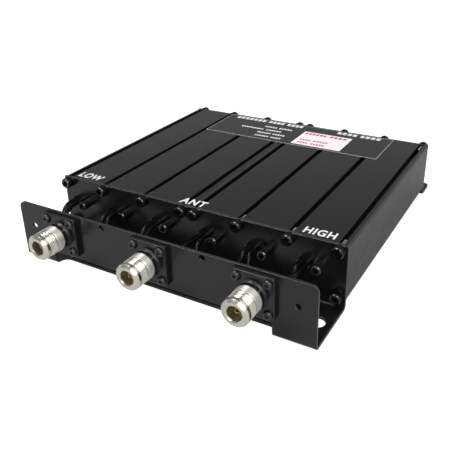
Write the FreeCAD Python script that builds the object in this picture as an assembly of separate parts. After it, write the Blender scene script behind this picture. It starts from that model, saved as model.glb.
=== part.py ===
import FreeCAD, Part
import math
import os

# Six-cavity coaxial duplexer: two extruded aluminium cavity blocks side by side, a folded front
# bracket that is cover, base plate and connector panel in one sheet, a folded rear cover, three
# flanged threaded coaxial jacks, and in each cavity a quarter-wave rod, a tuning screw and a probe.
# Millimetres. X runs across the cavities, Y from the jacks to the rear, Z up from the surface that
# the device stands on. The origin is midway between the two front mounting holes, on the underside.

Vector = FreeCAD.Vector

# Cavity blocks
block_width = 100.0
block_height = 35.0
block_depth = 163.0
block_wall = 2.0
block_edge_radius = 1.5
middle_cavity_width = 30.2
cavity_corner_radius = 1.0

# Screw channels in the blocks
channel_side_inset = 4.5
channel_depth = 3.1
channel_bore_radius = 2.15
channel_slot_width = 3.6
channel_boss_radius = 4.0

# Folded sheet
sheet = 1.5
bend_radius = 1.5
foot_height = 5.0
panel_setback = 38.0
panel_height = 38.5
panel_corner_radius = 4.0
leg_width = 24.6
window_height = 9.2
window_corner_radius = 1.0
base_cut_setback = 7.4
base_cut_radius = 4.5
rear_flange_depth = 18.5
rear_flange_corner_radius = 4.0

# Holes in the folded sheet
mount_hole_inset = 8.8
mount_hole_setback = 18.5
mount_hole_radius = 4.9
rear_hole_radius = 2.75
spare_hole_radius = 1.9
side_hole_inset = 10.5
side_hole_height = 23.7
top_hole_offset = 34.3
top_hole_inset = 2.9

# Threaded jacks
jack_inset = 34.5
jack_height = 24.7
flange_size = 25.4
flange_thickness = 3.0
flange_corner_radius = 2.0
flange_hole_pitch = 18.24
neck_radius = 8.6
neck_length = 1.2
step_radius = 8.1
step_length = 2.6
thread_radius = 7.94
collar_length = 4.5
undercut_length = 1.2
undercut_depth = 0.75
thread_length = 5.5
nose_groove_length = 0.3
nose_length = 3.1
nose_chamfer = 1.4
socket_radius = 4.35
socket_depth = 10.0
socket_chamfer = 0.6
tail_radius = 5.6
tail_length = 5.5
insulator_radius = 4.0
contact_radius = 1.55
contact_setback = 3.4
contact_bore_radius = 0.85
contact_bore_depth = 5.0
contact_slot_width = 0.4
turret_radius = 2.0
turret_length = 4.5

# Resonators, tuning screws and taps
resonator_radius = 5.0
resonator_bore_radius = 3.6
resonator_bore_depth = 32.0
resonator_front_gap = 8.0
tuning_shift = 2.6
tuning_height = 20.0
tuning_radius = 3.0
tuning_reach = 8.0
tuning_inner_length = 21.5
tuning_socket_radius = 1.6
tuning_socket_depth = 2.5
tuning_chamfer = 0.5
bushing_radius = 4.2
bushing_flange_radius = 6.3
bushing_flange_thickness = 2.0
tap_shift = -6.4
tap_width = 7.8
tap_height = 4.8
tap_length = 4.0
tap_corner_radius = 2.2
tap_neck_radius = 2.4
tap_neck_length = 1.0
tap_hole_depth = 3.0
lead_spacing = 3.7
probe_radius = 1.0
probe_length = 20.0
probe_tip_radius = 2.0
probe_tip_length = 3.0

# Leads
lead_radius = 1.6
lead_first_runs = [10.5, 10.5, 10.5, 10.5, 7.2, 7.2]
lead_end_gap = 0.3
link_shoulder = {"side": 2.0, "front": 8.0, "drop": 11.5}
link_bottom = {"side": 8.0, "front": 10.0, "drop": 19.8}

# Fasteners
cover_screw = {"shank": 2.0, "length": 10.0, "head": 3.5, "height": 4.0, "socket": 3.0, "depth": 2.0}
head_chamfer = 0.4
lock_washer = {"radius": 3.8, "thickness": 0.9, "split": 0.9}
flange_screw = {"shank": 1.5, "length": 8.0, "head": 2.85, "height": 1.8, "socket": 2.0, "depth": 1.0}
flange_nut = {"across_flats": 5.5, "thickness": 2.4}
resonator_screw = {"shank": 2.0, "length": 9.0, "socket": 2.5, "depth": 1.3}
countersink_land = 0.1

# Clearances
running_clearance = 0.05
seat_clearance = 0.05
hole_clearance = 0.25

# Planes and lines that the pieces share
cover_front = mount_hole_setback
cover_back = cover_front + sheet
block_back = cover_back + block_depth
rear_back = block_back + sheet
panel_back = cover_front - panel_setback
panel_front = panel_back - sheet
base_cut_front = panel_front + base_cut_setback
block_bottom = foot_height
block_top = block_bottom + block_height
half_width = block_width
tuning_z = block_bottom + tuning_height
block_centres = [-block_width / 2, block_width / 2]
jack_centres = {"low": jack_inset - half_width, "ant": 0.0, "high": half_width - jack_inset}
partition_offset = (middle_cavity_width + block_wall) / 2
channel_offsets = [
    -(block_width / 2 - channel_side_inset),
    -partition_offset,
    partition_offset,
    block_width / 2 - channel_side_inset,
]
channel_heights = [block_bottom + channel_depth, block_top - channel_depth]
channel_mouths = [block_bottom - 1, block_top + 1]
side_cavity_width = block_width / 2 - block_wall - partition_offset - block_wall / 2
side_cavity_offset = partition_offset + block_wall / 2 + side_cavity_width / 2
cavity_offsets = [-side_cavity_offset, 0.0, side_cavity_offset]
cavity_widths = [side_cavity_width, middle_cavity_width, side_cavity_width]
cavity_centres = [block + offset for block in block_centres for offset in cavity_offsets]
tuning_lines = [centre + tuning_shift for centre in cavity_centres]
tap_lines = [centre + tap_shift for centre in cavity_centres]
flange_front = panel_front - flange_thickness
nose_front = (flange_front - neck_length - step_length - collar_length - undercut_length
              - thread_length - nose_groove_length - nose_length)
tail_back = panel_back + tail_length
turret_back = tail_back + turret_length


# Basic solids

along_x = Vector(1, 0, 0)
along_y = Vector(0, 1, 0)
along_z = Vector(0, 0, 1)


def bar(x_from, x_to, y_from, y_to, z_from, z_to):
    size = (x_to - x_from, y_to - y_from, z_to - z_from)
    return Part.makeBox(*size, Vector(x_from, y_from, z_from))


def rod(radius, x, z, y_from, y_to):
    return Part.makeCylinder(radius, y_to - y_from, Vector(x, y_from, z), Vector(0, 1, 0))


def turned(profile, x, z):
    """A piece turned about a line along Y; its profile is a loop of points, each (y, radius)."""
    points = [Vector(radius, y, 0) for y, radius in profile]
    face = Part.Face(Part.makePolygon(points + points[:1]))
    solid = face.revolve(Vector(0, 0, 0), Vector(0, 1, 0), 360)
    solid.translate(Vector(x, 0, z))
    return solid


def hexagon(across_flats, thickness, x, z, y_from):
    corner = across_flats / math.sqrt(3)
    turns = [math.radians(60 * step + 30) for step in range(6)]
    points = [Vector(x + corner * math.cos(a), y_from, z + corner * math.sin(a)) for a in turns]
    return Part.Face(Part.makePolygon(points + points[:1])).extrude(Vector(0, thickness, 0))


def edges_along(shape, axis, x=None, y=None, z=None):
    """The straight edges along one axis whose middle lies at the given places."""
    wanted = {"x": x, "y": y, "z": z}
    found = []
    for edge in shape.Edges:
        ends = [vertex.Point for vertex in edge.Vertexes]
        if len(ends) != 2 or abs(abs((ends[1] - ends[0]).normalize().dot(axis)) - 1) > 1e-6:
            continue
        middle = (ends[0] + ends[1]) / 2
        places = {"x": middle.x, "y": middle.y, "z": middle.z}
        if all(at is None or abs(places[name] - at) < 1e-3 for name, at in wanted.items()):
            found.append(edge)
    return found


def rounded_face(x_from, x_to, z_from, z_to, radius):
    """A rectangle with round corners, in the XZ plane."""
    edges = []
    corners = [(x_to, z_from, -90), (x_to, z_to, 0), (x_from, z_to, 90), (x_from, z_from, 180)]
    arcs = []
    for x, z, start in corners:
        centre_x = x + (radius if x == x_from else -radius)
        centre_z = z + (radius if z == z_from else -radius)
        turns = [math.radians(start + 45 * step) for step in range(3)]
        arcs.append([Vector(centre_x + radius * math.cos(a), 0, centre_z + radius * math.sin(a))
                     for a in turns])
    for arc, following in zip(arcs, arcs[1:] + arcs[:1]):
        edges.append(Part.Arc(*arc).toShape())
        edges.append(Part.makeLine(arc[-1], following[0]))
    return Part.Face(Part.Wire(edges))


def prism(face, y_from, y_to):
    """A face in the XZ plane at y = 0, carried along Y from one plane to another."""
    solid = face.extrude(Vector(0, y_to - y_from, 0))
    solid.translate(Vector(0, y_from, 0))
    return solid


# Cavity blocks

def cavity_block(centre):
    """One extrusion: three cavities side by side, with open screw channels above and below."""
    half = block_width / 2
    block = prism(rounded_face(centre - half, centre + half, block_bottom, block_top, block_edge_radius),
                  cover_back, block_back)
    places = [(centre + offset, z, mouth) for offset in channel_offsets
              for z, mouth in zip(channel_heights, channel_mouths)]
    bosses = [rod(channel_boss_radius, x, z, cover_back, block_back).common(block) for x, z, _ in places]
    cavities = []
    for offset, width in zip(cavity_offsets, cavity_widths):
        middle = centre + offset
        opening = rounded_face(middle - width / 2, middle + width / 2, block_bottom + block_wall,
                               block_top - block_wall, cavity_corner_radius)
        cavities.append(prism(opening, cover_back - 1, block_back + 1))
    channels = []
    for x, z, mouth in places:
        side = channel_slot_width / 2
        channels.append(rod(channel_bore_radius, x, z, cover_back - 1, block_back + 1))
        channels.append(bar(x - side, x + side, cover_back - 1, block_back + 1, *sorted((z, mouth))))
    return block.cut(cavities).fuse(bosses).cut(channels).removeSplitter()


# Folded front bracket

def front_bracket():
    """Connector panel, base plate and front cover, folded from one sheet into a U."""
    base = bar(-half_width, half_width, panel_front, cover_back, 0, sheet)
    panel = bar(-half_width, half_width, panel_front, panel_back, 0, panel_height)
    cover = bar(-half_width, half_width, cover_front, cover_back, 0, block_top)
    shell = base.fuse([panel, cover]).removeSplitter()
    outer = edges_along(shell, along_x, y=panel_front, z=0) + edges_along(shell, along_x, y=cover_back, z=0)
    shell = shell.makeFillet(bend_radius + sheet, outer)
    inner = edges_along(shell, along_x, y=panel_back, z=sheet)
    inner += edges_along(shell, along_x, y=cover_front, z=sheet)
    shell = shell.makeFillet(bend_radius, inner)
    shell = shell.cut(panel_window())
    corners = edges_along(shell, along_y, x=half_width, z=panel_height)
    corners += edges_along(shell, along_y, x=-half_width, z=panel_height)
    shell = shell.makeFillet(panel_corner_radius, corners)
    return shell.cut(panel_holes() + base_holes() + cover_holes())


def panel_window():
    """The notch between the two legs, through the foot of the panel and the front of the base."""
    inner_x = half_width - leg_width
    through = bar(-inner_x, inner_x, panel_front - sheet, panel_back + bend_radius, -sheet, window_height)
    through = through.makeFillet(window_corner_radius, edges_along(through, along_y, z=window_height))
    cut = bar(-inner_x, inner_x, panel_front - sheet, base_cut_front, -sheet, sheet * 2)
    return through.fuse(cut.makeFillet(base_cut_radius, edges_along(cut, along_z, y=base_cut_front)))


def panel_holes():
    holes = []
    for x in jack_centres.values():
        holes.append(rod(tail_radius + hole_clearance, x, jack_height, panel_front - 1, panel_back + 1))
        for screw_x, screw_z in flange_screw_places(x):
            radius = flange_screw["shank"] + hole_clearance
            holes.append(rod(radius, screw_x, screw_z, panel_front - 1, panel_back + 1))
    for side in (-1, 1):
        places = [(side * (half_width - side_hole_inset), side_hole_height),
                  (side * top_hole_offset, panel_height - top_hole_inset)]
        for x, z in places:
            holes.append(rod(spare_hole_radius, x, z, panel_front - 1, panel_back + 1))
    return holes


def base_holes():
    x = half_width - mount_hole_inset
    return [Part.makeCylinder(mount_hole_radius, sheet + 2, Vector(side * x, 0, -1)) for side in (-1, 1)]


def cover_holes():
    holes = cover_screw_holes(cover_front, cover_back)
    for x in tuning_lines:
        holes.append(rod(bushing_radius + seat_clearance, x, tuning_z, cover_front - 1, cover_back + 1))
    for x in tap_lines:
        holes.append(rod(tap_neck_radius + seat_clearance, x, tuning_z, cover_front - 1, cover_back + 1))
    return holes


# Folded rear cover

def rear_cover():
    """Rear cover with its lower edge folded back into a mounting flange."""
    plate = bar(-half_width, half_width, block_back, rear_back, 0, block_top)
    flange_back = rear_back + rear_flange_depth
    fold = plate.fuse(bar(-half_width, half_width, block_back, flange_back, 0, sheet)).removeSplitter()
    fold = fold.makeFillet(bend_radius + sheet, edges_along(fold, along_x, y=block_back, z=0))
    fold = fold.makeFillet(bend_radius, edges_along(fold, along_x, y=rear_back, z=sheet))
    fold = fold.makeFillet(rear_flange_corner_radius, edges_along(fold, along_z, y=flange_back))
    holes = cover_screw_holes(block_back, rear_back)
    for x in tuning_lines:
        holes.append(countersunk_rod(x, block_back - 1, seat_clearance))
    hole_y = (rear_back + flange_back) / 2
    for side in (-1, 1):
        x = side * (half_width - mount_hole_inset)
        holes.append(Part.makeCylinder(rear_hole_radius, sheet + 2, Vector(x, hole_y, -1)))
    return fold.cut(holes)


# Threaded jacks

def jack_body(x):
    """Square flange, stepped neck, threaded barrel and tail, turned and milled in one piece."""
    steps = [
        (neck_length, neck_radius),
        (step_length, step_radius),
        (collar_length, thread_radius),
        (undercut_length, thread_radius - undercut_depth),
        (thread_length, thread_radius),
        (nose_groove_length, thread_radius - undercut_depth / 2),
    ]
    outside = [(tail_back, tail_radius), (flange_front, tail_radius)]
    y = flange_front
    for length, radius in steps:
        outside += [(y, radius), (y - length, radius)]
        y -= length
    outside += [(y, thread_radius), (nose_front + nose_chamfer, thread_radius),
                (nose_front, thread_radius - nose_chamfer)]
    socket_floor = nose_front + socket_depth
    inside = [(nose_front, socket_radius + socket_chamfer),
              (nose_front + socket_chamfer, socket_radius),
              (socket_floor, socket_radius),
              (socket_floor, insulator_radius + seat_clearance),
              (tail_back, insulator_radius + seat_clearance)]
    turning = turned(outside + inside, x, jack_height)
    half = flange_size / 2
    flange = bar(x - half, x + half, flange_front, panel_front, jack_height - half, jack_height + half)
    flange = flange.makeFillet(flange_corner_radius, edges_along(flange, along_y))
    flange = flange.cut(rod(tail_radius - 0.5, x, jack_height, flange_front - 1, panel_front + 1))
    holes = [rod(flange_screw["shank"] + hole_clearance, screw_x, screw_z, flange_front - 1, panel_front + 1)
             for screw_x, screw_z in flange_screw_places(x)]
    return turning.fuse(flange).cut(holes).removeSplitter()


def jack_insulator(x):
    tube = rod(insulator_radius, x, jack_height, nose_front + socket_depth, tail_back)
    return tube.cut(rod(contact_radius + seat_clearance, x, jack_height, nose_front, tail_back + 1))


def jack_contact(x):
    """Slotted female contact at the front and a solder turret at the tail."""
    tip = nose_front + contact_setback
    bore_end = tip + contact_bore_depth
    profile = [(tip, contact_bore_radius), (tip, contact_radius), (tail_back, contact_radius),
               (tail_back, turret_radius), (turret_back, turret_radius), (turret_back, 0),
               (bore_end, 0), (bore_end, contact_bore_radius)]
    pin = turned(profile, x, jack_height)
    half = contact_slot_width / 2
    wide = contact_radius + 1
    upright = bar(x - half, x + half, tip - 1, bore_end, jack_height - wide, jack_height + wide)
    level = bar(x - wide, x + wide, tip - 1, bore_end, jack_height - half, jack_height + half)
    return pin.cut([upright, level])


# Resonators, tuning and coupling

def resonator(x):
    """Quarter-wave rod, fixed to the rear cover, with a bore for the tuning screw at its free end."""
    front = cover_back + resonator_front_gap
    solid = rod(resonator_radius, x, tuning_z, front, block_back)
    bore = rod(resonator_bore_radius, x, tuning_z, front - 1, front + resonator_bore_depth)
    depth = resonator_screw["length"] + 1
    tapping = rod(resonator_screw["shank"] + seat_clearance, x, tuning_z, block_back - depth, block_back + 1)
    return solid.cut([bore, tapping])


def tuning_screw(x):
    front = cover_front - tuning_reach
    back = cover_back + tuning_inner_length
    socket_end = front + tuning_socket_depth
    profile = [(front, tuning_socket_radius), (front, tuning_radius - tuning_chamfer),
               (front + tuning_chamfer, tuning_radius), (back - tuning_chamfer, tuning_radius),
               (back, tuning_radius - tuning_chamfer), (back, 0),
               (socket_end, 0), (socket_end, tuning_socket_radius)]
    return turned(profile, x, tuning_z)


def tuning_bushing(x):
    """Threaded bushing pressed into the cover from inside, with its flange behind the sheet."""
    body = rod(bushing_radius, x, tuning_z, cover_front, cover_back)
    flange = rod(bushing_flange_radius, x, tuning_z, cover_back, cover_back + bushing_flange_thickness)
    bore = rod(tuning_radius + running_clearance, x, tuning_z, cover_front - 1,
               cover_back + bushing_flange_thickness + 1)
    return body.fuse(flange).cut(bore).removeSplitter()


def tap_ferrule(x):
    """Block in front of the cover that holds the ends of two leads side by side."""
    front = cover_front - tap_length
    outline = rounded_face(x - tap_width / 2, x + tap_width / 2, tuning_z - tap_height / 2,
                           tuning_z + tap_height / 2, tap_corner_radius)
    block = prism(outline, front, cover_front)
    neck = rod(tap_neck_radius, x, tuning_z, cover_front, cover_back + tap_neck_length)
    holes = [rod(lead_radius + seat_clearance, x + side * lead_spacing / 2, tuning_z, front - 1,
                 front + tap_hole_depth) for side in (-1, 1)]
    return block.fuse(neck).cut(holes).removeSplitter()


def coupling_probe(x):
    start = cover_back + tap_neck_length
    tip = start + probe_length
    return turned([(start, 0), (start, probe_radius), (tip - probe_tip_length, probe_radius),
                   (tip - probe_tip_length, probe_tip_radius), (tip, probe_tip_radius), (tip, 0)],
                  x, tuning_z)


# Leads

def rounded_route(points):
    """Straight runs joined by tangent arcs, each as large as its two runs allow."""
    edges = []
    radii = []
    start = points[0]
    for before, corner, after in zip(points, points[1:], points[2:]):
        towards = (corner - before).normalize()
        away = (after - corner).normalize()
        half_turn = towards.getAngle(away) / 2
        reach = 0.45 * min(before.distanceToPoint(corner), corner.distanceToPoint(after))
        radius = reach / math.tan(half_turn)
        arc_start = corner - towards * reach
        arc_end = corner + away * reach
        inward = (away - towards).normalize()
        middle = corner + inward * (radius / math.cos(half_turn) - radius)
        edges.append(Part.makeLine(start, arc_start))
        edges.append(Part.Arc(arc_start, middle, arc_end).toShape())
        radii.append(radius)
        start = arc_end
    edges.append(Part.makeLine(start, points[-1]))
    return Part.Wire(edges), radii


def lead(name, points):
    route, radii = rounded_route(points)
    section = Part.Face(Part.Wire([Part.makeCircle(lead_radius, points[0], points[1] - points[0])]))
    tube = route.makePipe(section)
    expected = math.pi * lead_radius ** 2 * route.Length
    print(name, "length %.1f mm" % route.Length, "volume ratio %.4f" % (tube.Volume / expected),
          "radii", ["%.1f" % radius for radius in radii])
    return tube


def tap_end(tap, side):
    """The two first points of a lead: its end in the ferrule and a point straight in front of it."""
    x = tap_lines[tap] + side * lead_spacing / 2
    inner = Vector(x, cover_front - tap_length + tap_hole_depth, tuning_z)
    outer = Vector(x, inner.y - lead_first_runs[tap], tuning_z)
    return inner, outer


def link_route(tap, side_from, side_to):
    """A loop that hangs from one tap to the next one on its right."""
    first, first_out = tap_end(tap, side_from)
    last, last_out = tap_end(tap + 1, side_to)
    down = [Vector(place["side"], -place["front"], -place["drop"]) for place in (link_shoulder, link_bottom)]
    up = [Vector(-place["side"], -place["front"], -place["drop"]) for place in (link_bottom, link_shoulder)]
    return ([first, first_out] + [first_out + step for step in down]
            + [last_out + step for step in up] + [last_out, last])


def jack_route(tap, side, jack, corners):
    """From a tap to the side of a jack's solder turret; the corners count from the two ends."""
    first, first_out = tap_end(tap, side)
    way = 1 if jack_centres[jack] < first.x else -1
    end = Vector(jack_centres[jack] + way * (turret_radius + lead_end_gap),
                 (tail_back + turret_back) / 2, jack_height)
    return [first, first_out, first_out + corners[0], end + corners[1], end]


from_left = [Vector(3.0, -10.0, -4.0), Vector(-9.0, 0.8, -4.2)]
from_right = [Vector(0.2, -11.0, 1.2), Vector(4.7, -0.2, 0.6)]
lead_routes = {
    "low_lead": jack_route(0, 1, "low", from_left),
    "link_lead_1_2": link_route(0, -1, -1),
    "link_lead_2_3": link_route(1, 1, -1),
    "ant_lead_3": jack_route(2, 1, "ant", from_left),
    "ant_lead_4": jack_route(3, -1, "ant", from_right),
    "link_lead_4_5": link_route(3, 1, -1),
    "link_lead_5_6": link_route(4, 1, -1),
    "high_lead": jack_route(5, 1, "high", from_right),
}


# Fasteners

def placed(piece, x, z, seat, way):
    """A fastener made with its seat at the origin; its shank points along Y by the sign of way."""
    if way < 0:
        piece.rotate(Vector(0, 0, 0), along_z, 180)
    piece.translate(Vector(x, seat, z))
    return piece


def cap_screw(size, x, z, seat, way):
    """Screw with a cylindrical head, chamfered at its face, and a hexagon socket."""
    rise = size["height"]
    screw = turned([(-rise, 0), (-rise, size["head"] - head_chamfer), (head_chamfer - rise, size["head"]),
                    (0, size["head"]), (0, size["shank"]), (size["length"], size["shank"]),
                    (size["length"], 0)], 0, 0)
    screw = screw.cut(hexagon(size["socket"], size["depth"] + 1, 0, 0, -rise - 1))
    return placed(screw, x, z, seat, way)


def split_washer(x, z, seat, way):
    """Spring washer under a cap screw's head, with its split upwards."""
    thickness = lock_washer["thickness"]
    ring = rod(lock_washer["radius"], 0, 0, -thickness, 0)
    ring = ring.cut(rod(cover_screw["shank"] + seat_clearance, 0, 0, -thickness - 1, 1))
    half = lock_washer["split"] / 2
    ring = ring.cut(bar(-half, half, -thickness - 1, 1, 0, lock_washer["radius"] + 1))
    return placed(ring, x, z, seat, way)


def button_screw(size, x, z, seat, way):
    """Round-headed screw with a hexagon socket."""
    crown = size["head"] * 0.55
    rise = size["height"]
    bulge = (size["head"] * 0.88, -rise * 0.62)
    points = [Vector(0, -rise, 0), Vector(crown, -rise, 0), Vector(*bulge, 0), Vector(size["head"], 0, 0)]
    edges = [
        Part.makeLine(points[0], points[1]),
        Part.Arc(points[1], points[2], points[3]).toShape(),
        Part.makeLine(points[3], Vector(size["shank"], 0, 0)),
        Part.makeLine(Vector(size["shank"], 0, 0), Vector(size["shank"], size["length"], 0)),
        Part.makeLine(Vector(size["shank"], size["length"], 0), Vector(0, size["length"], 0)),
        Part.makeLine(Vector(0, size["length"], 0), points[0]),
    ]
    screw = Part.Face(Part.Wire(edges)).revolve(Vector(0, 0, 0), along_y, 360)
    screw = screw.cut(hexagon(size["socket"], size["depth"] + 1, 0, 0, -rise - 1))
    return placed(screw, x, z, seat, way)


def cover_screw_places():
    return [(centre + offset, z) for centre in block_centres for offset in channel_offsets
            for z in channel_heights]


def cover_screw_holes(y_from, y_to):
    radius = cover_screw["shank"] + hole_clearance
    return [rod(radius, x, z, y_from - 1, y_to + 1) for x, z in cover_screw_places()]


def flange_screw_places(x):
    reach = flange_hole_pitch / 2
    return [(x + across * reach, jack_height + up * reach) for across in (-1, 1) for up in (-1, 1)]


def flange_nuts():
    nuts = []
    for centre in jack_centres.values():
        for x, z in flange_screw_places(centre):
            nut = hexagon(flange_nut["across_flats"], flange_nut["thickness"], x, z, panel_back)
            nuts.append(nut.cut(rod(flange_screw["shank"] + seat_clearance, x, z, panel_back - 1,
                                    panel_back + flange_nut["thickness"] + 1)))
    return nuts


def countersunk_rod(x, y_end, gap):
    """A flat screw head in the rear cover and its shank, widened all round by a gap."""
    shank = resonator_screw["shank"] + gap
    cone = sheet - countersink_land
    return turned([(rear_back, 0), (rear_back, shank + cone), (rear_back - cone, shank),
                   (y_end, shank), (y_end, 0)], x, tuning_z)


def resonator_screws():
    screws = []
    for x in tuning_lines:
        screw = countersunk_rod(x, block_back - resonator_screw["length"], 0.0)
        socket = hexagon(resonator_screw["socket"], resonator_screw["depth"] + 1, x, tuning_z,
                         rear_back - resonator_screw["depth"])
        screws.append(screw.cut(socket))
    return screws


def cover_screws(seat, way):
    head_seat = seat - way * lock_washer["thickness"]
    return [cap_screw(cover_screw, x, z, head_seat, way) for x, z in cover_screw_places()]


def cover_washers(seat, way):
    return [split_washer(x, z, seat, way) for x, z in cover_screw_places()]


def flange_screws():
    return [button_screw(flange_screw, x, z, flange_front, 1) for centre in jack_centres.values()
            for x, z in flange_screw_places(centre)]


# All pieces by name

parts = {
    "low_cavity_block": [cavity_block(block_centres[0])],
    "high_cavity_block": [cavity_block(block_centres[1])],
    "front_bracket": [front_bracket()],
    "rear_cover": [rear_cover()],
    "front_cover_screws": cover_screws(cover_front, 1),
    "front_cover_washers": cover_washers(cover_front, 1),
    "rear_cover_screws": cover_screws(rear_back, -1),
    "rear_cover_washers": cover_washers(rear_back, -1),
    "resonator_screws": resonator_screws(),
    "flange_nuts": flange_nuts(),
    "flange_screws": flange_screws(),
}
for port, x in jack_centres.items():
    parts[port + "_jack_body"] = [jack_body(x)]
    parts[port + "_jack_insulator"] = [jack_insulator(x)]
    parts[port + "_jack_contact"] = [jack_contact(x)]
for number, (tuning_x, tap_x) in enumerate(zip(tuning_lines, tap_lines), start=1):
    parts["resonator_%d" % number] = [resonator(tuning_x)]
    parts["tuning_screw_%d" % number] = [tuning_screw(tuning_x)]
    parts["tuning_bushing_%d" % number] = [tuning_bushing(tuning_x)]
    parts["tap_ferrule_%d" % number] = [tap_ferrule(tap_x)]
    parts["coupling_probe_%d" % number] = [coupling_probe(tap_x)]
for name, points in lead_routes.items():
    parts[name] = [lead(name, points)]

os.makedirs("parts", exist_ok=True)
for name, solids in parts.items():
    for solid in solids:
        if not solid.isValid() or len(solid.Solids) != 1:
            raise RuntimeError(name + " isn't one valid solid")
    shape = solids[0] if len(solids) == 1 else Part.makeCompound(solids)
    shape.exportStep("parts/" + name + ".step")
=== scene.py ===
import math
from fnmatch import fnmatch

import bmesh
import bpy
import numpy as np
from bpy.props import FloatProperty, FloatVectorProperty, IntProperty, PointerProperty, StringProperty
from mathutils import Matrix, Vector


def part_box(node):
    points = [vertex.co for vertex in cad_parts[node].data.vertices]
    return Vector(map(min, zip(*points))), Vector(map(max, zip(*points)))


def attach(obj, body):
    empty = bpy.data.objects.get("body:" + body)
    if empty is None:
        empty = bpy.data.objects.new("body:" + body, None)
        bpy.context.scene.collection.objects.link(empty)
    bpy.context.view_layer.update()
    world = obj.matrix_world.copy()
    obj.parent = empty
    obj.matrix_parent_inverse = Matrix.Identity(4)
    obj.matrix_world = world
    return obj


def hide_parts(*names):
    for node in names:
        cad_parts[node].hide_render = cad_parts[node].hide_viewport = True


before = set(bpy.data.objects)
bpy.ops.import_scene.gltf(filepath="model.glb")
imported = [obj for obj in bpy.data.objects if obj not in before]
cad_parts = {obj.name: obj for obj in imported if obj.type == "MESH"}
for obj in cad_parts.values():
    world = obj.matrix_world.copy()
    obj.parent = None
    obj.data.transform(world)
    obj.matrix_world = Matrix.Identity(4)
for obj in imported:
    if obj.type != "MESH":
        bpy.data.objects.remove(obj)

bl_info = {
    "name": "Duplexer Finish",
    "version": (1, 0, 0),
    "blender": (4, 5, 0),
    "location": "3D View > Sidebar > Duplexer",
    "description": "Finishes, threads, fasteners, print and studio of a six-cavity duplexer",
    "category": "Object",
}

MM = 0.001
JACKS = ("low", "ant", "high")
CAVITIES = range(1, 7)


# Sizes read from the frame

def middle(node):
    """Middle of a node's box, in metres."""
    low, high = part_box(node)
    return (low + high) / 2


SHEET = 1.5 * MM
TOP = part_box("high_cavity_block")[1].z
COVER_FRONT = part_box("front_bracket")[1].y - SHEET
REAR_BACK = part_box("high_cavity_block")[1].y + SHEET
PANEL_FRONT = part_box("front_bracket")[0].y
PANEL_BACK = PANEL_FRONT + SHEET

# Sizes of the jacks in metres, from the flange's front face to the nose, as the coaxial standard has them

FLANGE_FRONT = PANEL_FRONT - 3.0 * MM
FLANGE_HALF, FLANGE_CORNER = 12.7 * MM, 2.0 * MM
OUTLINE_SPACING = 0.7 * MM
NECK_RADIUS, NECK_LENGTH = 8.6 * MM, 1.2 * MM
STEP_RADIUS, STEP_LENGTH = 8.1 * MM, 2.6 * MM
CREST_RADIUS, COLLAR_LENGTH = 7.94 * MM, 4.5 * MM
UNDERCUT_LENGTH, UNDERCUT_DEPTH = 1.2 * MM, 0.75 * MM
THREAD_LENGTH, THREAD_PITCH, THREAD_DEPTH = 5.5 * MM, 1.058 * MM, 0.45 * MM
GROOVE_LENGTH, GROOVE_DEPTH, NOSE_CHAMFER = 0.3 * MM, 0.4 * MM, 1.4 * MM
SOCKET_RADIUS, SOCKET_DEPTH, SOCKET_CHAMFER = 4.35 * MM, 10.0 * MM, 0.6 * MM
TAIL_RADIUS, TAIL_BORE = 5.6 * MM, 4.05 * MM
BARREL_OVERLAP = 1.0 * MM

# A power below one makes a thread's grooves wider than its crests

GROOVE_POWER = 0.8


# Meshes from grids of points

def grid_faces(rows, columns, wrap_rows):
    """Corner numbers of a grid's quads; the last column joins the first, and so may the last row."""
    i, j = np.meshgrid(np.arange(rows if wrap_rows else rows - 1), np.arange(columns), indexing="ij")
    next_i, next_j = (i + 1) % rows, (j + 1) % columns
    corners = (i * columns + j, next_i * columns + j, next_i * columns + next_j, i * columns + next_j)
    return np.stack(corners, axis=-1).reshape(-1, 4)


def build(name, grids, body="root", wrap_rows=False, smooth_angle=35.0):
    """One object from grids of points in metres; doubles are merged and faces point outwards."""
    points, faces, count = [], [], 0
    for grid in grids:
        rows, columns = grid.shape[:2]
        points.append(grid.reshape(-1, 3))
        faces.append(grid_faces(rows, columns, wrap_rows) + count)
        count += rows * columns
    mesh = bpy.data.meshes.new(name)
    mesh.from_pydata(np.concatenate(points).tolist(), [], np.concatenate(faces).tolist())
    close_seams(mesh)
    mesh.polygons.foreach_set("use_smooth", np.ones(len(mesh.polygons), dtype=bool))
    mesh.set_sharp_from_angle(angle=math.radians(smooth_angle))
    piece = place(name, mesh, body)
    even = piece.modifiers.new("even_normals", "WEIGHTED_NORMAL")
    even.keep_sharp = True
    return piece


def close_seams(mesh):
    """Merges doubles, which closes poles and seams, and turns all faces outwards."""
    work = bmesh.new()
    work.from_mesh(mesh)
    bmesh.ops.remove_doubles(work, verts=work.verts, dist=1e-7)
    bmesh.ops.dissolve_degenerate(work, edges=work.edges, dist=1e-8)
    bmesh.ops.recalc_face_normals(work, faces=work.faces)
    work.to_mesh(mesh)
    work.free()


def place(name, mesh, body="root"):
    """Links a mesh as a piece that rides on a body."""
    piece = bpy.data.objects.new(name, mesh)
    bpy.context.scene.collection.objects.link(piece)
    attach(piece, body)
    return piece


def finish_with(piece, *materials):
    """Gives a piece its materials; each face keeps its number among them, which clear() would reset."""
    numbers = np.zeros(len(piece.data.polygons), dtype=np.int32)
    if len(materials) > 1:
        piece.data.polygons.foreach_get("material_index", numbers)
    piece.data.materials.clear()
    for material in materials:
        piece.data.materials.append(material)
    piece.data.polygons.foreach_set("material_index", numbers)


# Shapes

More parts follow.
